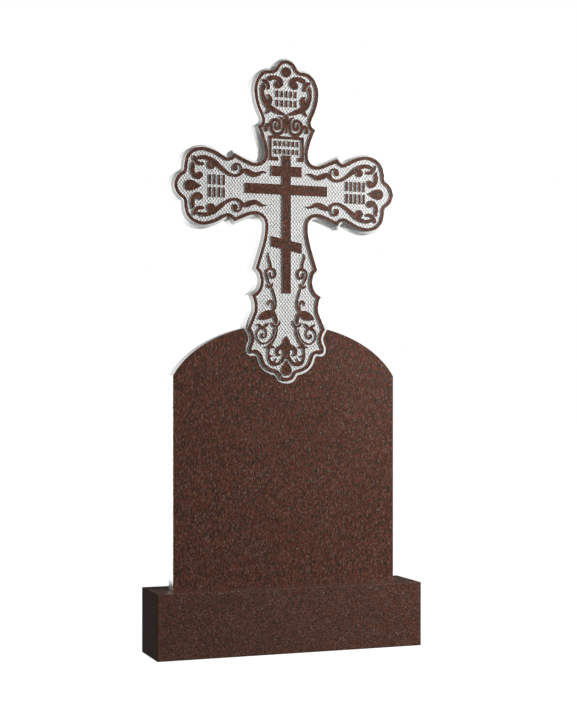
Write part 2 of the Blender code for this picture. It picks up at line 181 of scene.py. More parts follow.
def finish_of(name, roughness, specular=0.5):
    """A new material: its shader, its place in the stone in metres, and itself."""
    material = bpy.data.materials.new(name)
    material.use_nodes = True
    nodes = material.node_tree.nodes
    shader = nodes["Principled BSDF"]
    shader.inputs["Roughness"].default_value = roughness
    shader.inputs["Specular IOR Level"].default_value = specular
    place = Value(nodes.new("ShaderNodeTexCoord").outputs["Object"])
    return material, shader, place


def feed(shader, socket, value):
    """Links a value to one of the shader's sockets."""
    shader.id_data.links.new(value.socket, shader.inputs[socket])


def polished_granite(name, grain, tint):
    """Brown granite: red-brown and dark crystals of the given size, a few pale flecks, a high polish."""
    material, shader, place = finish_of(name, POLISH)
    # Each mineral colour times the tint; on the base the tint is a painted reflection of the pale floor
    minerals = [(at, [part * share for part, share in zip(colour, tint)]) for at, colour in MINERALS]
    crystals_at = place.add("Mapping", {"Vector": place, "Scale": tuple(1 / size for size in grain)})
    wander = place.add("TexNoise", {"Vector": crystals_at, "Scale": 0.8, "Detail": 2.0}, output="Color")
    shifted = place.add("VectorMath", {0: wander, "Scale": CRYSTAL_BEND}, operation="SCALE")
    bent = place.add("VectorMath", {0: crystals_at, 1: shifted}, operation="ADD")
    cell = place.add("TexVoronoi", {"Vector": bent, "Scale": 1.0}, output="Color")
    tone = cell.add("SeparateColor", {"Color": cell}, output=0)
    fine = place.add("TexNoise", {"Vector": bent, "Scale": 1.9, "Detail": 3.0, "Roughness": 0.65})
    cloud = place.add("TexNoise", {"Vector": place, "Scale": 14.0, "Detail": 2.0})
    blend = tone * CRYSTAL_SHARE + fine * FINE_SHARE + cloud * CLOUD_SHARE - DARKENING
    body = place.add("ValToRGB", {"Fac": blend}, stops=minerals)
    spot = place.add("TexVoronoi", {"Vector": bent, "Scale": 0.8}, output="Color")
    fleck = spot.add("SeparateColor", {"Color": spot}, output=1).above(FLECK_RARITY, 0.004)
    feed(shader, "Base Color", fleck.mix(body, (*FLECK, 1.0)))
    dark = 1 - blend.above(0.3, 0.1)
    feed(shader, "Roughness", dark * DARK_POLISH_LOSS + POLISH)
    return material


def dress(piece, node, slot, *materials):
    """Gives a finished piece its materials, and its place in the frame of the headstone."""
    piece.data.materials.clear()
    for material in materials:
        piece.data.materials.append(material)
    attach(piece, "root")
    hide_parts(node)


base_low, base_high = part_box("base_block")
stele_low, stele_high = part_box("stele")
base = box("base_stone", base_low, base_high)
eased = base.modifiers.new("eased arrises", "BEVEL")
eased.width = BASE_ARRIS
eased.segments = ARRIS_SEGMENTS
only(base)
bpy.ops.object.modifier_apply(modifier=eased.name)
socket_low = (-SLAB_WIDTH / 2 - SOCKET_PLAY, -stele_high[1] - SOCKET_PLAY, stele_low[2] - SOCKET_PLAY)
socket_high = (SLAB_WIDTH / 2 + SOCKET_PLAY, stele_high[1] + SOCKET_PLAY, base_high[2] + BASE_ARRIS)
cut_away(base, box("socket_tool", socket_low, socket_high))
dress(base, "base_block", "base_granite", polished_granite("base_polished_granite", BASE_GRAIN, BASE_PAINTED_REFLECTION))


# Slab with the cross. One stone: a thin polished slab with a rounded top, and the cross that grows out of it.
# The cross is carved: a ridge follows its outline inside a narrow margin, the ground is cut back and hatched,
# and the ornament is left standing, with the polish still on its tops.
SHOULDER_HEIGHT = 0.5385
ARCH_RISE = 0.134
ARCH_OVERSHOOT = 1.068
CROSS_HEIGHT = 0.823
RIDGE_WIDTH = 0.0085
MARGIN_WIDTH = 0.0063
EDGE_FALL = 0.005
FLAT_FACING = 0.9
SMOOTH_UP_TO = 28
RELIEF = 0.0035
GROUND_RISE = 0.0008
HATCH_WIDTH = 0.0084
HATCH_HEIGHT = 0.01086
HATCH_RELIEF = 0.0021
HATCH_REACH = 0.002
SLAB_GRAIN = (0.0016, 0.0016, 0.0045)
SLAB_TINT = (1.0, 1.0, 1.0)

# How finely curves are drawn: step along a curve and width of a pointed line end in drawing millimetres,
# how far a left out point may lie off its line in metres, and the points of the arch and of a boss
CURVE_STEP = 1.0
POINTED_BELOW = 1.5
TOLERANCE = 0.00012
ARCH_POINTS = 90
BOSS_POINTS = 40

# The drawing of the cross is in millimetres from its crossing
DRAWN_SPAN = 596.4
DRAWN_TOP = 333.0
DRAWN_FOOT = -491.0

# Right side of the ridge's outer edge, one smooth run between each two cusps
TOP_LOBE = [
    (0, 333), (13, 330), (23, 321.5), (30.5, 309.5), (37.5, 305), (52, 304), (67, 297.5), (80, 281.5),
    (87, 260), (86.5, 238), (80, 210.5), (70, 187.5), (66.5, 176.5), (69, 166), (78.5, 158),
]
NECK = [
    (78.5, 158), (72, 144), (62, 114.5), (58.5, 95), (61.5, 77), (71, 67.8), (86, 65), (102, 69.5),
    (142, 87.5),
]
ARM_LOBE = [
    (142, 87.5), (147.5, 78.5), (157, 74.5), (171, 80), (190, 90.3), (222, 98), (250, 91), (266, 75),
    (271.5, 57), (274.5, 36.5), (286, 27), (294.5, 15), (298.2, 0),
]
SHAFT = [
    (142, -87.5), (102, -70), (85, -66), (70, -70), (60.5, -81), (58, -96), (60, -119), (66, -145),
    (84.3, -204),
]
UPPER_NOTCH = [(84.3, -204), (75, -215), (70.5, -232), (72, -248), (80.5, -263.5), (94, -273.5)]
LOWER_NOTCH = [(94, -273.5), (88.5, -286), (87, -312), (94, -330), (106, -358)]
FOOT = [
    (106, -358), (98.5, -370), (95.5, -383), (97, -392), (102.5, -406), (102, -416), (96, -421),
    (85, -419.2), (76, -424.5), (66.5, -447.5), (56, -459.5), (41, -467), (28, -470.8), (22, -478.5),
    (15.5, -487.5), (0, -491),
]

# Three-bar cross, in the drawing's millimetres
UPRIGHT_HALF_WIDTH = 12.0
UPRIGHT_TOP = 88.5
UPRIGHT_FOOT = -265.5
BAR_HEIGHT = 26.2
TOP_BAR = (41.5, 47.5)
LONG_BAR = (111.8, 0.5)
FOOT_BAR = (42.0, -141.0)
FOOT_BAR_DROP = 8.4

# Ornament on the axis of the cross: centre line points with the width of the stroke there (x, z, width)
AXIS_STROKES = [
    [(0, 195, 0.5), (0, 187, 13), (0, 183, 7.5), (0, 180, 14), (0, 166, 18)],
    [(0, 168, 3), (0, 156, 3.2), (0, 148.5, 6.5)],
    [(0, -375, 0.5), (0, -383, 13), (0, -391, 19), (0, -403, 21), (0, -425, 17)],
]

# Ornament that stands on both sides of the axis, drawn on the right
SIDE_STROKES = [
    # Hook, small leaf and lyre leaf of the top lobe
    [(46.5, 282, 11.5), (41, 285, 12), (32, 287, 10.5), (23, 285, 11.5), (16, 279, 13), (14.5, 270, 11)],
    [(49.2, 259, 8), (49.4, 264, 8.5), (52.5, 271, 9.5), (57, 275.2, 9.5), (61.5, 277, 8.5)],
    [(63.5, 269, 3), (63, 261, 11.5), (65, 249, 8.3), (62, 234, 11.5), (54.5, 220, 15), (43, 208.5, 13),
     (30, 202, 12.5), (18, 196.8, 9.5), (9, 194.5, 7.5)],
    [(48.5, 240, 6), (45, 234, 11), (45, 226, 13), (51, 214, 14)],
    [(45, 207, 12), (49, 199.5, 8.5), (55, 193.8, 4.5)],
    # Spiral, ear and side curl of the neck
    [(29.5, 169, 5), (31.2, 162.5, 7), (26.5, 155.8, 8), (20, 158.5, 7.5), (18.5, 168, 7), (21.5, 176, 7.5),
     (29, 179, 8.3), (38, 175, 7.5), (42, 165.5, 6.5), (40.5, 153, 7.5), (33.5, 144.8, 8), (25, 142, 8),
     (14, 145.5, 7), (9.2, 154, 6.5), (8, 165, 7), (8.5, 175, 6.5), (12, 182.5, 5.5), (19.5, 186.3, 3)],
    [(42, 164.3, 8), (49.5, 164.3, 9.5), (55.3, 159.5, 9), (55.3, 151.5, 10)],
    # Flame, spiral, cup, stem and leaves of the shaft
    [(47.8, -162, 0.5), (49.2, -172, 4), (45.8, -183, 5), (43.2, -193, 5.5), (43.2, -202, 7)],
    [(46, -242.5, 3.5), (50.5, -232, 5), (54.5, -222, 5.2), (55, -213.5, 5.5), (51.3, -206.5, 5.5),
     (44, -203.2, 6), (36, -204.8, 6), (31.2, -210.5, 6), (30.6, -218, 6), (34, -224.8, 6.5),
     (40, -226.3, 6.5), (44.8, -221.5, 5.6), (44.6, -215.5, 6)],
    [(38, -239.5, 1), (39.3, -246, 5.5), (44.5, -250, 6.3), (50, -248.8, 5.5), (53, -243.5, 1)],
    [(39, -253.5, 3), (36.5, -260, 5), (32.3, -274, 5), (29, -288, 5), (29.5, -300, 4.8), (33.5, -309, 5),
     (37, -314, 6)],
    [(36.8, -312, 5), (36, -300, 4.4), (37, -291, 4.6), (41.5, -286, 6.5), (46.7, -288.5, 6),
     (48.8, -293.5, 3.6), (48, -297.5, 1)],
    [(36, -315, 9), (42, -318, 17), (51, -321.5, 22.5), (62, -325.7, 19), (70, -329, 11), (76, -332.3, 1)],
    [(35.5, -314, 7), (31, -325, 9.5), (28.7, -336, 9.5), (28.6, -341, 8.5)],
    # Cup, tendril, sprout and scrolls of the foot
    [(17, -335, 0.6), (18.8, -344, 3.6), (25, -350, 5), (31, -350.3, 5.4), (37, -347.3, 5), (40.5, -340, 1)],
    [(33, -357.5, 3.6), (34, -368, 3.2), (39, -380, 3.5), (49, -391, 4), (63, -395.3, 3.6),
     (74.5, -389.5, 3.8), (80.6, -377, 3.4), (79.3, -365, 4), (73, -357.8, 5.5), (65, -355.5, 5.5),
     (57.5, -359.5, 4.6), (54.2, -369, 3.6), (57, -378, 4), (63.5, -381, 4.4), (67.8, -376.5, 5),
     (65.5, -371.8, 5.5)],
    [(47, -342.5, 0.6), (54, -347.8, 7.5), (62.5, -354.5, 4.6)],
    [(66, -354.5, 6), (71, -350.3, 6.5), (76, -346.8, 4.4), (80.5, -347.5, 0.6)],
    [(26, -354.5, 4.5), (25.8, -362, 4.2), (29, -375, 4.2), (34.5, -387, 4.5), (41, -396, 7), (48, -401.5, 6),
     (54, -404.3, 4.4), (59, -404, 2)],
    [(30.7, -402.5, 0.6), (36, -404.8, 5.5), (43, -401, 8.5)],
    [(46, -400, 6), (48.3, -414, 4.8), (48.2, -430, 5.5), (44.5, -440, 7), (37.5, -446.5, 9), (29, -448, 8.5),
     (19, -445.5, 7.5), (10, -436.5, 8), (5.2, -425, 8), (5, -412, 8)],
    [(35.5, -425.5, 0.6), (40, -427.8, 4.5), (46.5, -425.5, 5)],
    [(28, -432, 0.6), (29.6, -437.5, 3), (34, -443, 4)],
    [(6, -400, 15), (14, -404, 12), (22, -407.8, 9.5), (25.5, -415, 8.3), (24, -422, 7.6), (19.5, -424.4, 5),
     (15.3, -422.3, 1)],
]

# Ornament of an arm, drawn above its axis on the right
ARM_STROKES = [
    # Flame tail that runs on as the stem and ends in the upper hook
    [(53.5, 40.5, 0.6), (59, 42.7, 3.8), (66, 42.5, 5.5), (76, 37.2, 9.5), (86, 35, 12), (98, 38.4, 14),
     (110, 43.5, 12), (118, 41.5, 9.5), (124.5, 34.8, 7), (131, 31, 7), (140, 29.8, 7.2), (150, 32, 7.6),
     (165, 40.3, 8.2), (178, 50.3, 10.5), (190, 60, 12.6), (200, 66.3, 12.2), (210, 70.5, 10.4),
     (219, 72.6, 9.8), (228, 71.6, 10), (235, 69.5, 8)],
    # Volute, small leaf and outer hook
    [(121.5, 41, 7), (122.3, 52, 3.8), (126, 58.3, 4.2), (132, 60, 5.4), (138.2, 57.2, 7.5), (140.5, 51, 8)],
    [(224.5, 55.7, 8), (231, 55.1, 8.6), (237.5, 57.7, 8.5), (242.5, 62.9, 9), (246.3, 71.5, 8.5)],
    [(252.3, 59.2, 1), (249.3, 51.5, 8.5), (250.2, 42, 10.5), (248.8, 32.5, 10), (243.8, 25.5, 11),
     (237, 22.7, 13), (232, 24.5, 13)],
]
ARM_DROP = [(226.8, 0, 0.6), (237, 0, 12), (247, 0, 23.5), (256.4, 0, 27.6)]
FOOT_DROP = [(0, -437, 0.6), (0, -445, 9.5), (0, -454, 22.5), (0, -462.7, 29)]

# Round bosses (x, z, radius): on the axis, beside it, and three in each quarter of the arms
AXIS_BOSS = (0, 302.4, 13.3)
SIDE_BOSS = (22.5, 268.5, 9.8)
VOLUTE_BOSS = (138.2, 49.2, 7.4)
BUD_BOSS = (202, 53.3, 10.6)
HOOK_BOSS = (231.4, 27.6, 8.4)

# Frame round the tablet in the neck, with the two stalks on it: bars as (left, right, bottom, top)
FRAME_BARS = [
    (-47.5, 47.5, 130.2, 137.8),
    (-47.5, -40.4, 74, 134),
    (40.4, 47.5, 74, 134),
    (-44, -22, 73.9, 84.3),
    (31, 44, 73.9, 84.3),
    (-34, -18.5, 134, 144),
    (18.5, 34, 134, 144),
]

# Places of the inscriptions, for two rows of plain upright strokes: left, right, bottom, top, strokes a row
INSCRIPTIONS = [
    (-211, -162, -27, 30, 4),
    (161, 221, -27, 30, 5),
    (-31, 31, 213, 254, 5),
    (-36, 36, 91, 125, 6),
]
STROKE_WIDTH = 6.0
ROW_GAP = 7.0

# How far each side of a drawn line stands outside its drawn width
LINE_GAIN = 0.35


def smooth(points, before=None, after=None):
    """A Catmull-Rom curve through the points; before and after give its direction at the two ends."""
    pts = [np.array(p, float) for p in points]
    start = np.array(before, float) if before else 2 * pts[0] - pts[1]
    end = np.array(after, float) if after else 2 * pts[-1] - pts[-2]
    pts = [start, *pts, end]
    curve = []
    for a, b, c, d in zip(pts, pts[1:], pts[2:], pts[3:]):
        spans = [math.sqrt(math.dist(p[:2], q[:2])) for p, q in ((a, b), (b, c), (c, d))]
        t0, t1 = 0.0, spans[0]
        t2 = t1 + spans[1]
        t3 = t2 + spans[2]
        steps = max(2, math.ceil(math.dist(b[:2], c[:2]) / CURVE_STEP))
        for t in np.linspace(t1, t2, steps, endpoint=False):
            ab = a + (b - a) * (t - t0) / (t1 - t0)
            bc = b + (c - b) * (t - t1) / (t2 - t1)
            cd = c + (d - c) * (t - t2) / (t3 - t2)
            abc = ab + (bc - ab) * (t - t0) / (t2 - t0)
            bcd = bc + (cd - bc) * (t - t1) / (t3 - t1)
            curve.append(abc + (bcd - abc) * (t - t1) / (t2 - t1))
    curve.append(pts[-2])
    return curve


def thin(points):
    """Leaves out the points that lie on the line through their neighbours."""
    if len(points) < 3:
        return list(points)
    (ax, az), (bx, bz) = points[0], points[-1]
    length = math.hypot(bx - ax, bz - az)
    if length < 1e-9:
        gaps = [math.hypot(x - ax, z - az) for x, z in points]
    else:
        gaps = [abs((bx - ax) * (z - az) - (bz - az) * (x - ax)) / length for x, z in points]
    worst = max(range(len(points)), key=gaps.__getitem__)
    if gaps[worst] <= TOLERANCE:
        return [points[0], points[-1]]
    return thin(points[:worst + 1])[:-1] + thin(points[worst:])


def on_stone(x, z):
    """From the drawing's millimetres to metres on the headstone."""
    return x * across, centre_height + z * upwards


def mirrored(points):
    """The same points on the other side of the axis, in the other order."""
    return [(-x, *rest) for x, *rest in reversed(points)]


def whole_outline(half):
    """A closed outline from its right half, whose first and last points are on the axis."""
    return half + mirrored(half)[1:-1]


def ridge_half():
    """The right half of the ridge's outer edge, from the top of the cross to its foot."""
    arm = ARM_LOBE + [(x, -z) for x, z in reversed(ARM_LOBE)][1:]
    runs = [
        smooth(TOP_LOBE, before=mirrored(TOP_LOBE[:2])[0]),
        smooth(NECK),
        smooth(arm),
        smooth(SHAFT),
        smooth(UPPER_NOTCH),
        smooth(LOWER_NOTCH),
        smooth(FOOT, after=mirrored(FOOT[-2:])[1]),
    ]
    half = [point for run in runs for point in run[:-1]] + [runs[-1][-1]]
    return [on_stone(x, z) for x, z in half]


def moved_half(distance):
    """The right half of the ridge's edge moved outwards, with mitred cusps and neat hollows."""
    pts = np.array(whole_outline(ridge_half()))
    ahead = np.roll(pts, -1, axis=0) - pts
    ahead /= np.linalg.norm(ahead, axis=1)[:, None]
    after = np.stack([-ahead[:, 1], ahead[:, 0]], axis=1)
    before = np.roll(after, 1, axis=0)
    share = 1 + (after * before).sum(axis=1)
    moved = pts + distance * (after + before) / share[:, None]
    clear = [p for p in moved if np.hypot(*(pts - p).T).min() > abs(distance) * 0.9999]
    right = [(float(x), float(z)) for x, z in clear if x > 1e-6]
    axis = [float(z) for x, z in clear if abs(x) <= 1e-6]
    return [(0.0, max(axis))] + right + [(0.0, min(axis))]


def arch_height(x):
    """Height of the slab's rounded top above the ground at x, from an ellipse wider than the slab."""
    rise = ARCH_RISE / (1 - math.sqrt(1 - 1 / ARCH_OVERSHOOT ** 2))
    part = x / (ARCH_OVERSHOOT * SLAB_WIDTH / 2)
    return shoulder_height + ARCH_RISE - rise + rise * math.sqrt(max(0.0, 1 - part ** 2))


def arch_meeting(half):
    """Where the margin of the cross runs into the arch: the last point above it, and the place."""
    for index, (a, b) in enumerate(zip(half, half[1:])):
        above_a = a[1] - arch_height(a[0])
        above_b = b[1] - arch_height(b[0])
        if a[0] < SLAB_WIDTH / 2 and above_b <= 0 < above_a:
            share = above_a / (above_a - above_b)
            return index, (a[0] + (b[0] - a[0]) * share, a[1] + (b[1] - a[1]) * share)
    raise ValueError("the cross does not reach the slab")


def slab_outline(margin_half):
    """The silhouette of slab and cross as one closed outline."""
    index, meeting = arch_meeting(margin_half)
    reach = SLAB_WIDTH / 2
    half_span = ARCH_OVERSHOOT * reach
    arch = []
    for angle in np.linspace(math.acos(meeting[0] / half_span), math.acos(reach / half_span), ARCH_POINTS):
        x = half_span * math.cos(angle)
        arch.append((x, arch_height(x)))
    half = thin(margin_half[:index + 1] + [meeting]) + thin(arch)[1:]
    half.append((reach, stele_low[2]))
    return half + mirrored(half)[:-1]


def face_cut_outline(margin_half):
    """All of the slab's face outside the margin of the cross, and well beyond the slab's edges."""
    index, meeting = arch_meeting(margin_half)
    reach = SLAB_WIDTH / 2 + MARGIN_WIDTH
    low = stele_low[2] - MARGIN_WIDTH
    half = [(reach, meeting[1])] + thin([meeting] + margin_half[index + 1:])
    return half + mirrored(half)[1:] + [(-reach, low), (reach, low)]


def round_end(start, end, width):
    """Points of the half circle from start to end, without the two ends."""
    if width < POINTED_BELOW:
        return []
    centre = ((start[0] + end[0]) / 2, (start[1] + end[1]) / 2)
    spoke = (start[0] - centre[0], start[1] - centre[1])
    steps = max(6, round(width * 1.2))
    arc = []
    for step in range(1, steps):
        turn = math.pi * step / steps
        arc.append((
            centre[0] + spoke[0] * math.cos(turn) - spoke[1] * math.sin(turn),
            centre[1] + spoke[0] * math.sin(turn) + spoke[1] * math.cos(turn),
        ))
    return arc


def forward(edge, ways):
    """Leaves out the points of an edge that run backwards inside a tight bend."""
    kept = [edge[0]]
    for point, way in zip(edge[1:], ways[1:]):
        if np.dot(np.subtract(point, kept[-1]), way) > 0:
            kept.append(point)
    return kept


def stroke_outline(points):
    """The outline of a line of varying width; an end that has width is round."""
    line = np.array(smooth(points))
    ways = np.gradient(line[:, :2], axis=0)
    ways /= np.linalg.norm(ways, axis=1)[:, None]
    side = np.stack([-ways[:, 1], ways[:, 0]], axis=1) * (line[:, 2:] / 2 + LINE_GAIN)
    left = forward((line[:, :2] + side).tolist(), ways)
    right = forward((line[:, :2] - side).tolist(), ways)
    far_end = round_end(right[-1], left[-1], line[-1][2])
    near_end = round_end(left[0], right[0], line[0][2])
    outline = left + far_end[::-1] + right[::-1] + near_end[::-1]
    middle = len(outline) // 2
    outline = [on_stone(x, z) for x, z in outline]
    return thin(outline[:middle + 1])[:-1] + thin(outline[middle:])


def boss_outline(x, z, radius):
    """A round boss."""
    turns = np.linspace(0, 2 * math.pi, BOSS_POINTS, endpoint=False)
    return [on_stone(x + radius * math.cos(turn), z + radius * math.sin(turn)) for turn in turns]


def bar_outline(left, right, bottom, top):
    """An upright rectangle."""
    corners = [(left, bottom), (right, bottom), (right, top), (left, top)]
    return [on_stone(x, z) for x, z in corners]


def three_bar_cross():
    """Upright, two level bars and the slanting foot bar."""
    half_bar = BAR_HEIGHT / 2
    bars = [bar_outline(-UPRIGHT_HALF_WIDTH, UPRIGHT_HALF_WIDTH, UPRIGHT_FOOT, UPRIGHT_TOP)]
    for reach, height in (TOP_BAR, LONG_BAR):
        bars.append(bar_outline(-reach, reach, height - half_bar, height + half_bar))
    reach, height = FOOT_BAR
    corners = [(-1, 1, -1), (1, -1, -1), (1, -1, 1), (-1, 1, 1)]
    bars.append([
        on_stone(side * reach, height + fall * FOOT_BAR_DROP + edge * half_bar)
        for side, fall, edge in corners
    ])
    return bars


def inscription_strokes():
    """Two rows of plain upright strokes in each place that carries an inscription."""
    strokes = []
    half = STROKE_WIDTH / 2
    for left, right, bottom, top, count in INSCRIPTIONS:
        pitch = (right - left) / count
        row_height = (top - bottom - ROW_GAP) / 2
        for row_foot in (bottom, top - row_height):
            for index in range(count):
                middle = left + pitch * (index + 0.5)
                strokes.append(bar_outline(middle - half, middle + half, row_foot, row_foot + row_height))
    return strokes


def ornament_outlines():
    """Every raised motif inside the ridge, as closed outlines."""
    outlines = three_bar_cross() + inscription_strokes()
    outlines += [bar_outline(*bar) for bar in FRAME_BARS]
    outlines += [stroke_outline(stroke) for stroke in AXIS_STROKES + [FOOT_DROP]]
    outlines.append(boss_outline(*AXIS_BOSS))
    beside = [stroke_outline(stroke) for stroke in SIDE_STROKES]
    beside += [boss_outline(*SIDE_BOSS), stroke_outline(ARM_DROP)]
    arm = [stroke_outline(stroke) for stroke in ARM_STROKES]
    arm += [boss_outline(*boss) for boss in (VOLUTE_BOSS, BUD_BOSS, HOOK_BOSS)]
    beside += arm + [[(x, 2 * centre_height - z) for x, z in outline] for outline in arm]
    return outlines + beside + [[(-x, z) for x, z in outline] for outline in beside]


def plate(name, outline, middle_y, half_depth):
    """A flat upright plate with the given outline, its half depth to each side of middle_y."""
    curve = bpy.data.curves.new(name, "CURVE")
    curve.dimensions = "2D"
    curve.fill_mode = "BOTH"
    spline = curve.splines.new("POLY")
    spline.points.add(len(outline) - 1)
    for point, (x, z) in zip(spline.points, outline):
        point.co = (x, z, 0.0, 1.0)
    spline.use_cyclic_u = True
    made = bpy.data.objects.new(name, curve)
    made.rotation_euler.x = math.pi / 2
    made.location.y = middle_y - half_depth
    bpy.context.scene.collection.objects.link(made)
    only(made)
    bpy.ops.object.convert(target="MESH")
    bpy.ops.object.transform_apply(location=True, rotation=True, scale=True)
    bpy.ops.object.mode_set(mode="EDIT")
    bpy.ops.mesh.select_all(action="SELECT")
    bpy.ops.mesh.dissolve_limited(angle_limit=0.0005)
    bpy.ops.mesh.extrude_region_move(TRANSFORM_OT_translate={"value": (0, 2 * half_depth, 0)})
    bpy.ops.mesh.select_all(action="SELECT")
    bpy.ops.mesh.normals_make_consistent(inside=False)
    bpy.ops.object.mode_set(mode="OBJECT")
    return made


# Blank of slab and cross in one, cut back on the slab's face and, a little less, round the ridge of the cross
top_y = stele_low[1]
across = (stele_high[0] - stele_low[0] - 2 * MARGIN_WIDTH) / DRAWN_SPAN
upwards = CROSS_HEIGHT / (DRAWN_TOP - DRAWN_FOOT)
centre_height = stele_high[2] - MARGIN_WIDTH - DRAWN_TOP * upwards
shoulder_height = base_high[2] + SHOULDER_HEIGHT
margin_half = moved_half(MARGIN_WIDTH)
ridge_edge = whole_outline(thin(ridge_half()))
half_depth = (stele_high[1] - top_y) / 2
stele = plate("stele_stone", slab_outline(margin_half), top_y + half_depth, half_depth)
margin_tool = plate("margin_tool", whole_outline(thin(moved_half(2 * MARGIN_WIDTH))), top_y, RELIEF)
cut_away(margin_tool, plate("ridge_tool", ridge_edge, top_y, 2 * RELIEF))
cut_away(stele, margin_tool)
cut_away(stele, plate("face_tool", face_cut_outline(margin_half), top_y, RELIEF + GROUND_RISE))

# Field of the cross, cut back to the same ground all round the ornament
field_edge = whole_outline(thin(moved_half(-RIDGE_WIDTH)))
ground = plate("field_tool", field_edge, top_y, RELIEF)
motifs = ornament_outlines()

# Each motif tool goes a little deeper than the last, so that no two of them end in one plane
motif_tools = bpy.data.collections.new("motif_tools")
bpy.context.scene.collection.children.link(motif_tools)
for index, outline in enumerate(motifs):
    motif = plate(f"motif_tool_{index:03d}", outline, top_y, RELIEF * (1.5 + 0.01 * index))
    bpy.context.scene.collection.objects.unlink(motif)
    motif_tools.objects.link(motif)
cut_away(ground, motif_tools)
bpy.data.collections.remove(motif_tools)
cut_away(stele, ground)


def inside(points, outline):
    """For each point, whether it lies in the closed outline."""
    x, z = points[:, 0][:, None], points[:, 1][:, None]
    a = np.array(outline)
    b = np.roll(a, -1, axis=0)
    spans = (a[:, 1] > z) != (b[:, 1] > z)
    drop = np.where(b[:, 1] == a[:, 1], 1.0, b[:, 1] - a[:, 1])
    crossing = a[:, 0] + (z - a[:, 1]) * (b[:, 0] - a[:, 0]) / drop
    return (spans & (x < crossing)).sum(axis=1) % 2 == 1


# Hatching of the ground: low pyramids left between two sets of slanting saw cuts
bpy.ops.object.select_all(action="DESELECT")
bpy.ops.mesh.primitive_cone_add(vertices=4, radius1=1, depth=1, end_fill_type="NOTHING")
hatch = bpy.context.object
field_x, field_z = np.array(field_edge).T
hatch.scale = (HATCH_WIDTH / 2, HATCH_HEIGHT / 2, HATCH_RELIEF)
hatch.rotation_euler.x = math.pi / 2
hatch.location = (field_x.min(), top_y + RELIEF - HATCH_RELIEF / 2, field_z.min())
only(hatch)
bpy.ops.object.transform_apply(location=True, rotation=True, scale=True)
rows = [
    ((HATCH_WIDTH, 0, 0), math.ceil((field_x.max() - field_x.min()) / HATCH_WIDTH) + 1),
    ((0, 0, HATCH_HEIGHT), math.ceil((field_z.max() - field_z.min()) / HATCH_HEIGHT) + 1),
    ((HATCH_WIDTH / 2, 0, HATCH_HEIGHT / 2), 2),
]
for step, count in rows:
    row = hatch.modifiers.new("row", "ARRAY")
    row.use_relative_offset = False
    row.use_constant_offset = True
    row.constant_offset_displace = step
    row.count = count
    bpy.ops.object.modifier_apply(modifier=row.name)
corners = np.empty(len(hatch.data.vertices) * 3)
hatch.data.vertices.foreach_get("co", corners)
pyramids = corners.reshape(-1, 5, 3)[:, :, [0, 2]]
centres = pyramids.mean(axis=1)
kept = inside(centres, whole_outline(thin(moved_half(HATCH_REACH - RIDGE_WIDTH))))
for outline in motifs:
    low, high = np.min(outline, axis=0), np.max(outline, axis=0)
    near = np.flatnonzero(kept & (centres > low).all(axis=1) & (centres < high).all(axis=1))
    if len(near):
        hidden = inside(pyramids[near].reshape(-1, 2), outline).reshape(-1, 5).all(axis=1)
        kept[near[hidden]] = False
bpy.ops.object.mode_set(mode="EDIT")
bpy.ops.mesh.select_mode(type="VERT")
bpy.ops.mesh.select_all(action="DESELECT")
bpy.ops.object.mode_set(mode="OBJECT")
hatch.data.vertices.foreach_set("select", np.repeat(~kept, 5))
bpy.ops.object.mode_set(mode="EDIT")
bpy.ops.mesh.delete(type="VERT")
bpy.ops.mesh.select_all(action="SELECT")
bpy.ops.mesh.normals_make_consistent(inside=False)
bpy.ops.object.mode_set(mode="OBJECT")


def pale_stone(name, shade, roughness, tooth):
    """Granite bruised pale by the chisel or the saw, with a fine tooth."""
    material, shader, place = finish_of(name, roughness, specular=0.25)
    cloud = place.add("TexNoise", {"Vector": place, "Scale": 26.0, "Detail": 3.0})
    grit = place.add("TexNoise", {"Vector": place, "Scale": 420.0, "Detail": 2.0})
    tone = cloud * 0.10 + grit * 0.12 - 0.11 + shade
    colour = place.add("CombineColor", {0: tone, 1: tone, 2: tone * 0.985})
    feed(shader, "Base Color", colour)
    feed(shader, "Normal", place.add("Bump", {"Height": grit, "Strength": 0.5, "Distance": tooth}))
    return material


# Which finish each face has: polish on the front, the back and every raised top, pale stone elsewhere
stele_granite = polished_granite("slab_polished_granite", SLAB_GRAIN, SLAB_TINT)
carved = pale_stone("carved_pale_granite", 0.64, 0.85, 0.0004)
sawn = pale_stone("sawn_pale_edges", 0.80, 0.6, 0.0002)
only(stele)
dress(stele, "stele", "slab_granite", stele_granite, carved, sawn)
ground_y = top_y + RELIEF
for face in stele.data.polygons:
    depth = face.center.y - top_y
    if abs(face.normal.y) > FLAT_FACING:
        face.material_index = 1 if abs(face.center.y - ground_y) < GROUND_RISE / 2 else 0
    else:
        face.material_index = 1 if depth < RELIEF + GROUND_RISE else 2

# Above the slab the margin is a chamfer, which slopes back from the foot of the ridge to the stone's edge
corners = np.empty(len(stele.data.vertices) * 3)
stele.data.vertices.foreach_get("co", corners)
corners = corners.reshape(-1, 3)
free_edge = np.abs(corners[:, 1] - ground_y) < 1e-5
free_edge &= corners[:, 2] > arch_meeting(margin_half)[1][1] + MARGIN_WIDTH / 2
free_edge &= ~inside(corners[:, [0, 2]], whole_outline(moved_half(MARGIN_WIDTH / 2)))
bpy.ops.object.mode_set(mode="EDIT")
bpy.ops.mesh.select_mode(type="VERT")
bpy.ops.mesh.select_all(action="DESELECT")
bpy.ops.object.mode_set(mode="OBJECT")
stele.data.vertices.foreach_set("select", free_edge)
margin_faces = [
    face for face in stele.data.polygons
    if abs(face.normal.y) > FLAT_FACING and any(free_edge[index] for index in face.vertices)
]
for face in margin_faces:
    face.select = True
bpy.ops.object.mode_set(mode="EDIT")
bpy.ops.mesh.select_mode(type="FACE")
bpy.ops.mesh.quads_convert_to_tris(ngon_method="BEAUTY")
bpy.ops.mesh.select_mode(type="VERT")
bpy.ops.mesh.select_all(action="DESELECT")
bpy.ops.object.mode_set(mode="OBJECT")
stele.data.vertices.foreach_set("select", free_edge)
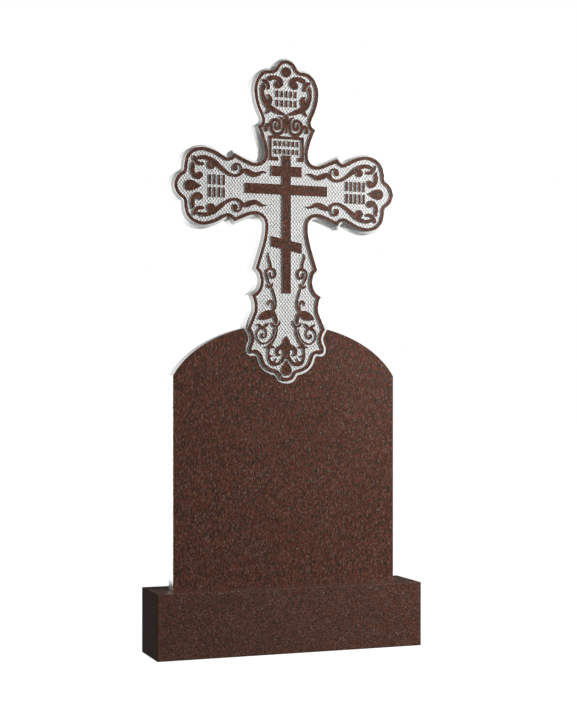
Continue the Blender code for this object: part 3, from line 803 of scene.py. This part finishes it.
bpy.ops.object.mode_set(mode="EDIT")
bpy.ops.transform.translate(value=(0, EDGE_FALL, 0))
bpy.ops.object.mode_set(mode="OBJECT")
hatch.data.materials.clear()
for material in (stele_granite, carved, sawn):
    hatch.data.materials.append(material)
hatch.data.polygons.foreach_set("material_index", [1] * len(hatch.data.polygons))
only(stele)
bpy.ops.object.shade_smooth_by_angle(angle=math.radians(SMOOTH_UP_TO))
hatch.select_set(True)
bpy.ops.object.join()


# Floor and light. A near-white floor under a soft sky, one soft lamp on the right a little above the cross,
# and on the left a lamp for the stele alone, which whitens the edges that the camera sees there.
FLOOR_SIZE = 60.0
FLOOR_DROP = 0.0004
FLOOR_GLOW = 0.96
LAMP_PLACE = (1.90, -1.36, 1.42)
LAMP_TOWARDS = (0.0, 0.0, 0.9)
LAMP_SIZE = 0.4
LAMP_POWER = 87.0
RIM_FROM = (-1.0, 0.15, -0.33)
RIM_STRENGTH = 3.9
RIM_SPREAD = 20
SKY = 0.30
SKY_BELOW = 0.08
SKY_IN_POLISH = 0.05

bpy.ops.object.select_all(action="DESELECT")
bpy.ops.mesh.primitive_plane_add(size=FLOOR_SIZE, location=(0, 0, -FLOOR_DROP))
floor = bpy.context.object
floor.name = "floor"
floor_finish, floor_shader, _ = finish_of("floor_pale", 0.9, specular=0.0)
floor_shader.inputs["Base Color"].default_value = (0.2, 0.2, 0.2, 1.0)
floor_shader.inputs["Emission Color"].default_value = (1.0, 1.0, 1.0, 1.0)
floor_shader.inputs["Emission Strength"].default_value = FLOOR_GLOW
floor.data.materials.append(floor_finish)
floor.visible_glossy = False
floor.visible_diffuse = False
floor.visible_shadow = False

sky = bpy.data.worlds.new("sky")
sky.use_nodes = True
bpy.context.scene.world = sky
background = sky.node_tree.nodes["Background"]
ray = sky.node_tree.nodes.new("ShaderNodeLightPath")
seen = Value(ray.outputs["Is Camera Ray"])
polish = Value(ray.outputs["Is Glossy Ray"])
direction = seen.add("TexCoord", {}, output="Generated")
height = seen.add("SeparateXYZ", {"Vector": direction}, output="Z")
glow = SKY_BELOW + height.above(0.0, 0.15) * (SKY - SKY_BELOW)
strength = seen + (1 - seen) * (polish * SKY_IN_POLISH + (1 - polish) * glow)
sky.node_tree.links.new(strength.socket, background.inputs["Strength"])
background.inputs["Color"].default_value = (1.0, 1.0, 1.0, 1.0)


def light(name, kind, power, place, towards):
    """A lamp that shines on a point."""
    data = bpy.data.lights.new(name, kind)
    data.energy = power
    made = bpy.data.objects.new(name, data)
    made.location = place
    made.rotation_euler = (Vector(place) - Vector(towards)).to_track_quat("Z", "Y").to_euler()
    bpy.context.scene.collection.objects.link(made)
    return made


lamp = light("lamp", "AREA", LAMP_POWER, LAMP_PLACE, LAMP_TOWARDS)
lamp.data.shape = "DISK"
lamp.data.size = LAMP_SIZE
rim = light("rim_lamp", "SUN", RIM_STRENGTH, RIM_FROM, (0, 0, 0))
rim.data.angle = math.radians(RIM_SPREAD)
rim_lit = bpy.data.collections.new("rim_lit")
rim_lit.objects.link(stele)
rim.light_linking.receiver_collection = rim_lit


# Camera, level and a little to the left of the stone, as the photograph was taken
CAMERA_PLACE = (-1.29335, -3.5706, 0.6568)
CAMERA_TURN = 20.111
FOCAL_PIXELS = 1470.62
PICTURE_HEIGHT = 716
HORIZON_BELOW_MIDDLE = 36.34
SENSOR = 36.0

camera_data = bpy.data.cameras.new("camera")
camera_data.sensor_width = SENSOR
camera_data.lens = SENSOR * FOCAL_PIXELS / PICTURE_HEIGHT
camera_data.shift_y = HORIZON_BELOW_MIDDLE / PICTURE_HEIGHT
camera_data.clip_end = 200.0
camera = bpy.data.objects.new("camera", camera_data)
camera.location = CAMERA_PLACE
camera.rotation_euler = (math.pi / 2, 0, -math.radians(CAMERA_TURN))
bpy.context.scene.collection.objects.link(camera)
bpy.context.scene.camera = camera
bpy.context.scene.view_settings.view_transform = "Standard"
